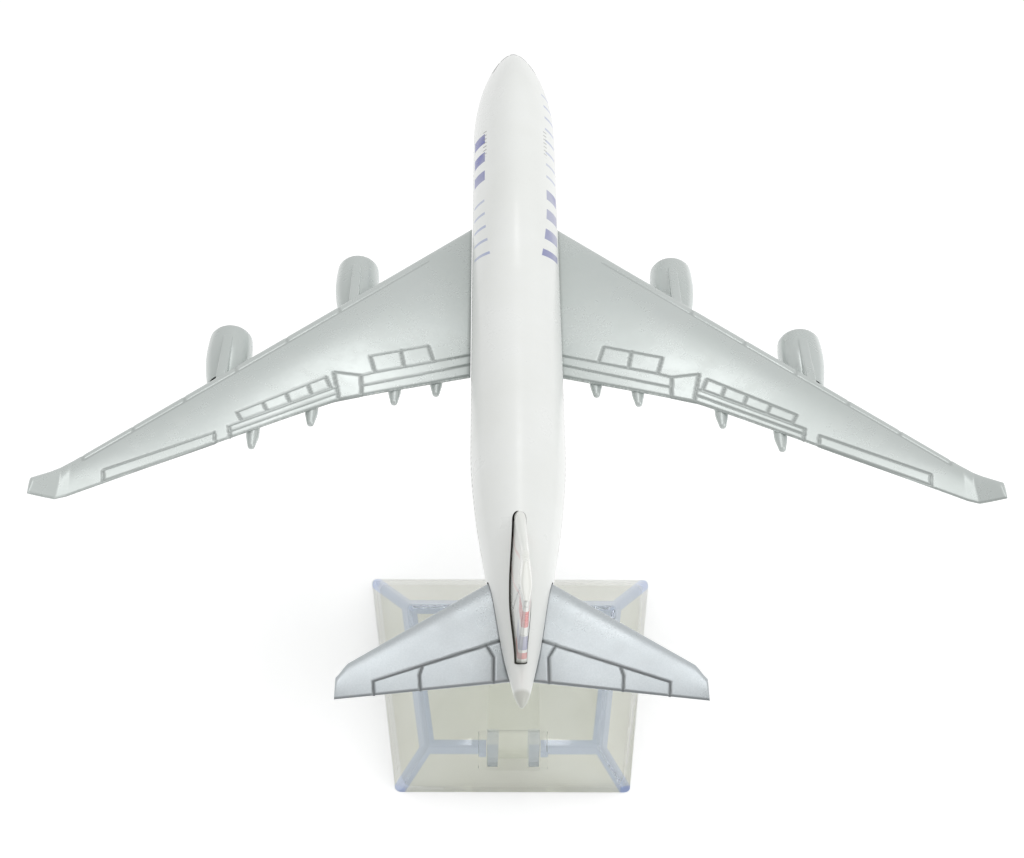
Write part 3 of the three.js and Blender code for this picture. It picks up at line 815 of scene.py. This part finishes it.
def dash_group():
    """1 inside each dash of an evenly spaced row."""
    group, start, end = new_group("dashes", [("Value", FLOAT, 0.0), ("Pitch", FLOAT, 1.0),
                                             ("Half Width", FLOAT, 0.2), ("Soft", FLOAT, 0.06)],
                                  [("Mask", FLOAT)])
    turn = math_node(group, "DIVIDE", start.outputs["Value"], start.outputs["Pitch"])
    turn = math_node(group, "FRACT", turn)
    off = math_node(group, "ABSOLUTE", math_node(group, "SUBTRACT", turn, 0.5))
    off = math_node(group, "MULTIPLY", off, start.outputs["Pitch"])
    group.links.new(soft_band(group, off, start.outputs), end.inputs["Mask"])
    return group


def door_group():
    """1 on the outline of a door."""
    group, start, end = new_group("door", [("Along", FLOAT, 0.0), ("Up", FLOAT, 0.0),
                                           ("Centre", FLOAT, 0.0), ("Sill", FLOAT, 0.0),
                                           ("Half Width", FLOAT, 0.8),
                                           ("Half Height", FLOAT, 1.6)], [("Mask", FLOAT)])
    out = start.outputs
    across = math_node(group, "ABSOLUTE", math_node(group, "SUBTRACT", out[0], out[2]))
    across = math_node(group, "SUBTRACT", across, out[4])
    up = math_node(group, "ABSOLUTE", math_node(group, "SUBTRACT", out[1], out[3]))
    up = math_node(group, "SUBTRACT", up, out[5])
    off = math_node(group, "ABSOLUTE", math_node(group, "SMOOTH_MAX", across, up, 0.3))
    group.links.new(map_range(group, off, 0.05, 0.13, 1.0, 0.0), end.inputs["Mask"])
    return group


def enamel_group():
    """Sprayed enamel: long ripples, orange peel, and a slow change of tone."""
    group, start, end = new_group("sprayed_enamel", [("Vector", VECTOR, None),
                                                     ("Peel", FLOAT, 0.5)],
                                  [("Height", FLOAT), ("Tone", FLOAT), ("Specks", FLOAT)])
    place = start.outputs["Vector"]
    peel = add(group, "ShaderNodeTexNoise", {"Vector": place, "Scale": 1.1, "Detail": 2.0})
    ripple = add(group, "ShaderNodeTexNoise", {"Vector": place, "Scale": 0.16, "Detail": 1.0})
    fine = math_node(group, "MULTIPLY", peel.outputs[0], start.outputs["Peel"])
    height = math_node(group, "ADD", fine, ripple.outputs[0])
    tone = add(group, "ShaderNodeTexNoise", {"Vector": place, "Scale": 0.07, "Detail": 3.0})
    specks = add(group, "ShaderNodeTexVoronoi", {"Vector": place, "Scale": 0.55})
    dots = map_range(group, specks.outputs["Distance"], 0.05, 0.09, 1.0, 0.0)
    keep = add(group, "ShaderNodeTexNoise", {"Vector": place, "Scale": 0.4})
    dots = math_node(group, "MULTIPLY", dots, map_range(group, keep.outputs[0], 0.6, 0.68, 0, 1))
    group.links.new(height, end.inputs["Height"])
    group.links.new(map_range(group, tone.outputs[0], 0.35, 0.65, 0, 1), end.inputs["Tone"])
    group.links.new(dots, end.inputs["Specks"])
    return group


def dust_group():
    """Fine dust and lint on the faces that look up."""
    group, start, end = new_group("dust", [("Vector", VECTOR, None)], [("Mask", FLOAT)])
    normal = add(group, "ShaderNodeNewGeometry").outputs["Normal"]
    up = add(group, "ShaderNodeSeparateXYZ", {0: normal}).outputs["Z"]
    up = map_range(group, up, 0.3, 1.0, 0.0, 1.0)
    cloud = add(group, "ShaderNodeTexNoise", {"Vector": start.outputs[0], "Scale": 0.35,
                                              "Detail": 6.0, "Roughness": 0.7})
    mask = map_range(group, cloud.outputs[0], 0.45, 0.75, 0.0, 1.0)
    group.links.new(math_node(group, "MULTIPLY", up, mask), end.inputs["Mask"])
    return group


GROUPS = {"stripe": stripe_group(), "dashes": dash_group(), "door": door_group(),
          "enamel": enamel_group(), "dust": dust_group()}


def aircraft_place(tree):
    """Coordinates in millimetres on the level aircraft."""
    turn = Matrix.Rotation(-PITCH, 3, "X")
    shift = Vector((0, SEAT_Y, SEAT_Z)) - turn @ Vector((0, SEAT_ROW, SEAT_HEIGHT))
    place = add(tree, "ShaderNodeTexCoord").outputs["Object"]
    mapping = add(tree, "ShaderNodeMapping", {"Vector": place, "Location": shift,
                                              "Rotation": (-PITCH, 0, 0),
                                              "Scale": (1000, 1000, 1000)})
    return mapping.outputs[0]


def blank_material(name, **constants):
    material = bpy.data.materials.new(name)
    material.use_nodes = True
    tree = material.node_tree
    shader = tree.nodes["Principled BSDF"]
    for label, value in constants.items():
        shader.inputs[label.replace("_", " ")].default_value = value
    return material, tree, shader


def enamel_finish(tree, shader, place, colour, look):
    """Adds tone, specks, dust, painted shade in engraved lines, gaps and edges, and orange peel to
    a painted surface.
    """
    texture = use_group(tree, GROUPS["enamel"], {"Vector": place, "Peel": look["peel"]})
    tone = texture.outputs["Tone"]
    colour = blend_colour(tree, math_node(tree, "MULTIPLY", tone, 0.5), colour, look["shade"])
    specks = math_node(tree, "MULTIPLY", texture.outputs["Specks"], 0.1)
    colour = blend_colour(tree, specks, colour, linear(150, 152, 148))
    # Painted shade: the groove layer blends engraved lines, gaps and edges towards the look's line
    # colour.
    groove = add(tree, "ShaderNodeAttribute", attribute_name="groove").outputs["Fac"]
    colour = blend_colour(tree, math_node(tree, "MULTIPLY", groove, look["groove_shade_strength"]), colour,
                          look["line"])
    dust = use_group(tree, GROUPS["dust"], {"Vector": place}).outputs["Mask"]
    colour = blend_colour(tree, math_node(tree, "MULTIPLY", dust, look["dust"]), colour,
                          linear(205, 203, 196))
    rough = map_range(tree, tone, 0.0, 1.0, look["rough"][0], look["rough"][1])
    rough = math_node(tree, "ADD", rough, math_node(tree, "MULTIPLY", dust, look["dust"]))
    bump = add(tree, "ShaderNodeBump", {"Height": texture.outputs["Height"],
                                        "Strength": look["bump"], "Distance": 0.00004})
    tree.links.new(colour, shader.inputs["Base Color"])
    tree.links.new(rough, shader.inputs["Roughness"])
    tree.links.new(bump.outputs[0], shader.inputs["Normal"])


# ---- materials ----

# In each look, line is the colour of the painted shade in engraved lines, gaps and edges, and the
# key just before it sets how strongly it is painted.
WHITE = {"peel": 0.35, "shade": linear(222, 224, 220), "groove_shade_strength": 0.8, "line": linear(120, 122, 118),
         "dust": 0.06, "rough": (0.26, 0.34), "bump": 0.1}
GREY = {"peel": 0.7, "shade": linear(186, 193, 190), "groove_shade_strength": 0.52, "line": linear(108, 114, 112),
        "dust": 0.06, "rough": (0.22, 0.3), "bump": 0.15}


def print_masks(tree, soft):
    """The stripe and dash masks of one printed material, given how soft its edges are."""
    def stripe(value, centre, half, edge=soft):
        return use_group(tree, GROUPS["stripe"], {"Value": value, "Centre": centre,
                                                  "Half Width": half, "Soft": edge}).outputs[0]

    def dashes(value, pitch, half):
        return use_group(tree, GROUPS["dashes"], {"Value": value, "Pitch": pitch,
                                                  "Half Width": half}).outputs[0]
    return stripe, dashes


def product(tree, *masks):
    result = masks[0]
    for mask in masks[1:]:
        result = math_node(tree, "MULTIPLY", result, mask)
    return result


def fuselage_enamel():
    material, tree, shader = blank_material("fuselage_gloss_enamel", Coat_Weight=0.1,
                                            Coat_Roughness=0.12)
    place = aircraft_place(tree)
    x, y, z = add(tree, "ShaderNodeSeparateXYZ", {0: place}).outputs
    side = math_node(tree, "ABSOLUTE", x)
    stripe, dashes = print_masks(tree, 0.06)
    colour = linear(229, 231, 229)
    slant = math_node(tree, "MULTIPLY_ADD", z, 0.55, y)
    starboard = math_node(tree, "GREATER_THAN", x, 0.0)
    port = math_node(tree, "LESS_THAN", x, 0.0)
    bold = product(tree, stripe(z, 4.6, 2), dashes(slant, 5.2, 1.3))
    fine = product(tree, stripe(z, 4.6, 1.9), dashes(slant, 3.4, 0.3))
    bold_ends = math_node(tree, "ADD", product(tree, starboard, stripe(slant, -51.5, 8.6)),
                          product(tree, port, stripe(slant, -34, 8.6)))
    fine_ends = math_node(tree, "ADD", product(tree, starboard, stripe(slant, -27, 13)),
                          product(tree, port, stripe(slant, -52, 8.4)))
    colour = blend_colour(tree, product(tree, bold, bold_ends), colour, linear(8, 34, 150))
    fine = math_node(tree, "MULTIPLY", product(tree, fine, fine_ends), 0.75)
    colour = blend_colour(tree, fine, colour, linear(110, 130, 190))
    windows = product(tree, stripe(z, 1.2, 0.34), dashes(y, 1.15, 0.2), stripe(y, -74, 60))
    upper = product(tree, stripe(z, 6.6, 0.4), dashes(slant, 1.05, 0.12), stripe(slant, -30, 4))
    glazing = math_node(tree, "MAXIMUM", windows, upper)
    colour = blend_colour(tree, math_node(tree, "MULTIPLY", glazing, 0.8), colour,
                          linear(105, 106, 104))
    pane = product(tree, stripe(z, 5.2, 0.5), stripe(y, -6.5, 4),
                   math_node(tree, "SUBTRACT", 1.0, dashes(side, 1.7, 0.1)))
    colour = blend_colour(tree, pane, colour, linear(30, 32, 36))
    for centre in (-13.5, -36, -59.5, -92, -125):
        door = use_group(tree, GROUPS["door"], {"Along": y, "Up": z, "Centre": centre,
                                                "Sill": 0.3})
        mask = product(tree, door.outputs[0], math_node(tree, "GREATER_THAN", side, 3.0))
        colour = blend_colour(tree, math_node(tree, "MULTIPLY", mask, 0.6), colour,
                              linear(150, 150, 146))
    radome = math_node(tree, "MULTIPLY", stripe(y, -2.2, 0.07, 0.12), 0.4)
    colour = blend_colour(tree, radome, colour, linear(150, 150, 146))
    tip = map_range(tree, y, -151, -151.6, 0.0, 0.9)
    colour = blend_colour(tree, tip, colour, linear(150, 152, 138))
    enamel_finish(tree, shader, place, colour, WHITE)
    return material


def slot_shade():
    """Painted shade for the walls of the slots in the tail: a mottled mid grey, darker than the
    enamel, so the gaps read dark.
    """
    material, tree, shader = blank_material("fuselage_slot_wall", Roughness=0.8)
    place = aircraft_place(tree)
    shade_mottle = add(tree, "ShaderNodeTexNoise", {"Vector": place, "Scale": 1.5, "Detail": 3.0})
    # Painted shade: two mid greys mixed by noise.
    colour = blend_colour(tree, shade_mottle.outputs[0], linear(150, 150, 142), linear(172, 172, 162))
    tree.links.new(colour, shader.inputs["Base Color"])
    return material


def fin_enamel():
    material, tree, shader = blank_material("fin_gloss_enamel", Coat_Weight=0.6,
                                            Coat_Roughness=0.1)
    place = aircraft_place(tree)
    _, y, z = add(tree, "ShaderNodeSeparateXYZ", {0: place}).outputs
    stripe, _ = print_masks(tree, 0.1)
    colour = linear(226, 227, 221)
    edge = math_node(tree, "MULTIPLY_ADD", z, 0.418, y)
    rear = map_range(tree, edge, -141.6, -142.4, 0.0, 1.0)
    sweep = math_node(tree, "MULTIPLY_ADD", z, 1.2, y)
    bow = math_node(tree, "SINE", math_node(tree, "MULTIPLY", z, 0.16))
    curve = math_node(tree, "MULTIPLY_ADD", bow, 1.6, sweep)
    for centre in (-116.5, -122.5):
        line = product(tree, stripe(curve, centre, 0.25, 0.2), stripe(z, 12, 14), 0.6)
        colour = blend_colour(tree, line, colour, linear(214, 92, 92))
    red = product(tree, rear, stripe(z, 24, 3.2))
    blue = product(tree, rear, stripe(z, 13.9, 3))
    low = product(tree, rear, stripe(z, 8.1, 1.4))
    colour = blend_colour(tree, math_node(tree, "MAXIMUM", red, low), colour,
                          linear(205, 66, 62))
    colour = blend_colour(tree, blue, colour, linear(78, 80, 150))
    enamel_finish(tree, shader, place, colour, WHITE)
    return material


def wing_enamel():
    material, tree, shader = blank_material("wing_grey_enamel", Coat_Weight=0.25,
                                            Coat_Roughness=0.25, Metallic=0.32)
    place = aircraft_place(tree)
    enamel_finish(tree, shader, place, linear(194, 200, 198), GREY)
    return material


def tail_enamel():
    material, tree, shader = blank_material("tail_silver_enamel", Coat_Weight=0.2,
                                            Coat_Roughness=0.25, Metallic=0.4)
    place = aircraft_place(tree)
    flake = add(tree, "ShaderNodeTexVoronoi", {"Vector": place, "Scale": 7.0})
    spark = map_range(tree, flake.outputs["Color"], 0.2, 0.9, 0.0, 0.5)
    colour = blend_colour(tree, spark, linear(182, 189, 192), linear(204, 209, 212))
    # The tail's painted shade in its lines and edges is darker and stronger.
    look = dict(GREY, shade=linear(178, 184, 188), line=linear(84, 88, 90), groove_shade_strength=0.9,
                rough=(0.24, 0.32))
    enamel_finish(tree, shader, place, colour, look)
    return material


def cast_metal(name, colour, roughness, metallic):
    """Bare or dipped metal with fine turning marks and stains in random patches."""
    material, tree, shader = blank_material(name, Metallic=metallic)
    place = aircraft_place(tree)
    stretch = add(tree, "ShaderNodeMapping", {"Vector": place, "Scale": (1, 9, 1)})
    marks = add(tree, "ShaderNodeTexNoise", {"Vector": stretch.outputs[0], "Scale": 1.5,
                                             "Detail": 4.0})
    stain = add(tree, "ShaderNodeTexNoise", {"Vector": place, "Scale": 0.5, "Detail": 5.0})
    mask = map_range(tree, stain.outputs[0], 0.4, 0.7, 0.0, 0.6)
    dark = [share * 0.6 for share in colour[:3]] + [1]
    tree.links.new(blend_colour(tree, mask, colour, dark), shader.inputs["Base Color"])
    rough = map_range(tree, marks.outputs[0], 0.3, 0.7, roughness - 0.08, roughness + 0.12)
    tree.links.new(rough, shader.inputs["Roughness"])
    bump = add(tree, "ShaderNodeBump", {"Height": marks.outputs[0], "Strength": 0.25,
                                        "Distance": 0.00003})
    tree.links.new(bump.outputs[0], shader.inputs["Normal"])
    return material


def wall_thickness(tree, place):
    """1 where two walls of the base meet, and light runs along the plastic."""
    x, y, z = add(tree, "ShaderNodeSeparateXYZ", {0: place}).outputs
    side = math_node(tree, "ABSOLUTE", x)
    top = math_node(tree, "SUBTRACT", BASE_HEIGHT, z)
    lean = (BASE_TOP_FRONT - BASE_RIM_FRONT) / BASE_HEIGHT
    front = math_node(tree, "MULTIPLY_ADD", z, lean, BASE_RIM_FRONT)
    front = math_node(tree, "SUBTRACT", front, y)
    lean = (BASE_RIM_REAR - BASE_TOP_REAR) / BASE_HEIGHT
    rear = math_node(tree, "MULTIPLY_ADD", z, lean,
                     math_node(tree, "SUBTRACT", y, BASE_RIM_REAR))
    flank = math_node(tree, "MULTIPLY_ADD", z, -0.534, 24.2)
    flank = math_node(tree, "MULTIPLY_ADD", y, 0.1257, flank)
    flank = math_node(tree, "SUBTRACT", flank, side)
    near = [map_range(tree, off, width, width + 0.25, 1.0, 0.0)
            for off, width in ((top, 1.5), (front, 2.2), (rear, 1.3), (flank, 1.5))]
    total = math_node(tree, "ADD", near[0], near[1])
    total = math_node(tree, "ADD", total, math_node(tree, "ADD", near[2], near[3]))
    return map_range(tree, total, 1.05, 1.8, 0.0, 1.0)


def foot_flanges(tree, place):
    """1 in the two flanges of the post where they stand in the base."""
    x, _, z = add(tree, "ShaderNodeSeparateXYZ", {0: place}).outputs
    outer = map_range(tree, math_node(tree, "ABSOLUTE", x), 2.5, 2.6, 0.0, 1.0)
    return math_node(tree, "MULTIPLY", outer, map_range(tree, z, 10.6, 11.2, 1.0, 0.0))


def clear_plastic(name, bands):
    """Slightly milky clear plastic, with a pale blue cast in its edges."""
    material, tree, shader = blank_material(name, Transmission_Weight=1.0, IOR=1.14,
                                            Coat_Weight=1.0, Coat_Roughness=0.03, Coat_IOR=1.45)
    place = add(tree, "ShaderNodeTexCoord").outputs["Object"]
    mapping = add(tree, "ShaderNodeMapping", {"Vector": place, "Scale": (1000, 1000, 1000),
                                              "Location": (0, -SEAT_ROW, 0)})
    place = mapping.outputs[0]
    haze = add(tree, "ShaderNodeTexNoise", {"Vector": place, "Scale": 0.09, "Detail": 3.0})
    flow = map_range(tree, haze.outputs[0], 0.3, 0.7, 0.0, 1.0)
    if bands:
        colour = blend_colour(tree, flow, linear(224, 225, 215), linear(230, 231, 223))
        mask = wall_thickness(tree, place)
    else:
        colour = blend_colour(tree, flow, linear(246, 247, 243), linear(249, 250, 247))
        mask = foot_flanges(tree, place)
    mask = math_node(tree, "MULTIPLY", mask, 0.9 if bands else 0.5)
    colour = blend_colour(tree, mask, colour, linear(170, 186, 222))
    tree.links.new(colour, shader.inputs["Base Color"])
    scratch = add(tree, "ShaderNodeTexNoise", {"Vector": place, "Scale": 1.2, "Detail": 5.0})
    rough = map_range(tree, scratch.outputs[0], 0.35, 0.75, 0.03, 0.12)
    tree.links.new(rough, shader.inputs["Roughness"])
    bump = add(tree, "ShaderNodeBump", {"Height": haze.outputs[0], "Strength": 0.15,
                                        "Distance": 0.0001})
    tree.links.new(bump.outputs[0], shader.inputs["Normal"])
    return material


# ---- setting ----


def table():
    bm = bmesh.new()
    bmesh.ops.create_grid(bm, x_segments=1, y_segments=1, size=12)
    floor = to_object(bm, "table")
    material, _, shader = blank_material("table_white", Roughness=0.9)
    shader.inputs["Base Color"].default_value = (0.93, 0.93, 0.93, 1)
    shader.inputs["Specular IOR Level"].default_value = 0.0
    shader.inputs["Emission Color"].default_value = (1, 1, 1, 1)
    shader.inputs["Emission Strength"].default_value = 0.27
    floor.data.materials.append(material)


def soft_light(name, place, aim, size, power):
    data = bpy.data.lights.new(name, "AREA")
    data.shape = "RECTANGLE"
    data.size, data.size_y = size
    data.energy = power
    lamp = bpy.data.objects.new(name, data)
    lamp.location = place
    lamp.rotation_euler = (Vector(place) - Vector(aim)).to_track_quat("Z", "Y").to_euler()
    bpy.context.scene.collection.objects.link(lamp)


def studio():
    world = bpy.data.worlds.new("studio")
    world.use_nodes = True
    sky = world.node_tree.nodes["Background"]
    sky.inputs["Color"].default_value = (1, 1, 1, 1)
    sky.inputs["Strength"].default_value = 0.75
    bpy.context.scene.world = world
    soft_light("front_softbox", (0.006, 0.09, 0.25), (0, 0, 0.06), (0.035, 0.06), 0.021)
    soft_light("top_softbox", (0, 0.02, 0.25), (0, -0.07, 0.06), (0.15, 0.055), 0.05)
    soft_light("side_softbox", (0.6, -0.2, 0.6), (0, 0, 0.05), (0.5, 0.6), 1.6)
    bpy.context.scene.view_settings.view_transform = "Standard"


def camera():
    data = bpy.data.cameras.new("camera")
    data.sensor_width = 36
    data.lens = CAMERA_LENS
    data.clip_start = 0.01
    eye = bpy.data.objects.new("camera", data)
    x, behind, height = CAMERA_PLACE
    eye.matrix_world = (Matrix.Translation((x, SEAT_ROW * MM - behind, height))
                        @ Matrix.Rotation(math.radians(CAMERA_HEADING), 4, "Z")
                        @ Matrix.Rotation(math.radians(90 - CAMERA_DIP), 4, "X")
                        @ Matrix.Rotation(math.radians(CAMERA_ROLL), 4, "Z"))
    bpy.context.scene.collection.objects.link(eye)
    bpy.context.scene.camera = eye


# ---- assembly ----


def build():
    white = fuselage_enamel()
    grey = wing_enamel()
    silver = tail_enamel()
    steel = cast_metal("screw_plated_steel", linear(190, 192, 192), 0.3, 1.0)
    blades = cast_metal("fan_dark_grey", linear(96, 101, 104), 0.4, 0.6)
    core = cast_metal("exhaust_dull_metal", linear(150, 152, 152), 0.4, 0.7)
    parts = [
        (fuselage_casting(white, slot_shade()), "fuselage_casting", "fuselage_enamel", white),
        (belly_casting(), "belly_casting", "wing_enamel", grey),
        (tail_fin(), "tail_fin", "fin_enamel", fin_enamel()),
        (cross_screw(SCREW_STATIONS[0]), "front_screw", "screw_steel", steel),
        (cross_screw(SCREW_STATIONS[1]), "rear_screw", "screw_steel", steel),
    ]
    for hand, side in (("left", -1), ("right", 1)):
        parts.append((wing(side), f"{hand}_wing", "wing_enamel", grey))
        parts.append((tailplane(side), f"{hand}_tailplane", "tail_enamel", silver))
        for spot, place in ENGINES.items():
            name = f"{hand}_{spot}"
            parts.append((nacelle(side, place), f"{name}_nacelle", "wing_enamel", grey))
            parts.append((fan(side, place), f"{name}_fan", "fan_enamel", blades))
            parts.append((exhaust(side, place), f"{name}_exhaust", "exhaust_enamel", core))
    for piece, node, slot, material in parts:
        piece.name = f"{node}_look"
        thin = "wing" in node or "tailplane" in node
        finish_piece(piece, node, "aircraft", material, ONTO_STAND, 80 if thin else 38)
    base = stand_base()
    base.name = "stand_base_look"
    finish_piece(base, "stand_base", "base",
                 clear_plastic("base_clear_plastic", True), ONTO_TABLE, 30)
    post = stand_post()
    post.name = "stand_post_look"
    finish_piece(post, "stand_post", "post",
                 clear_plastic("post_clear_plastic", False), ONTO_TABLE, 30)


build()
table()
studio()
camera()
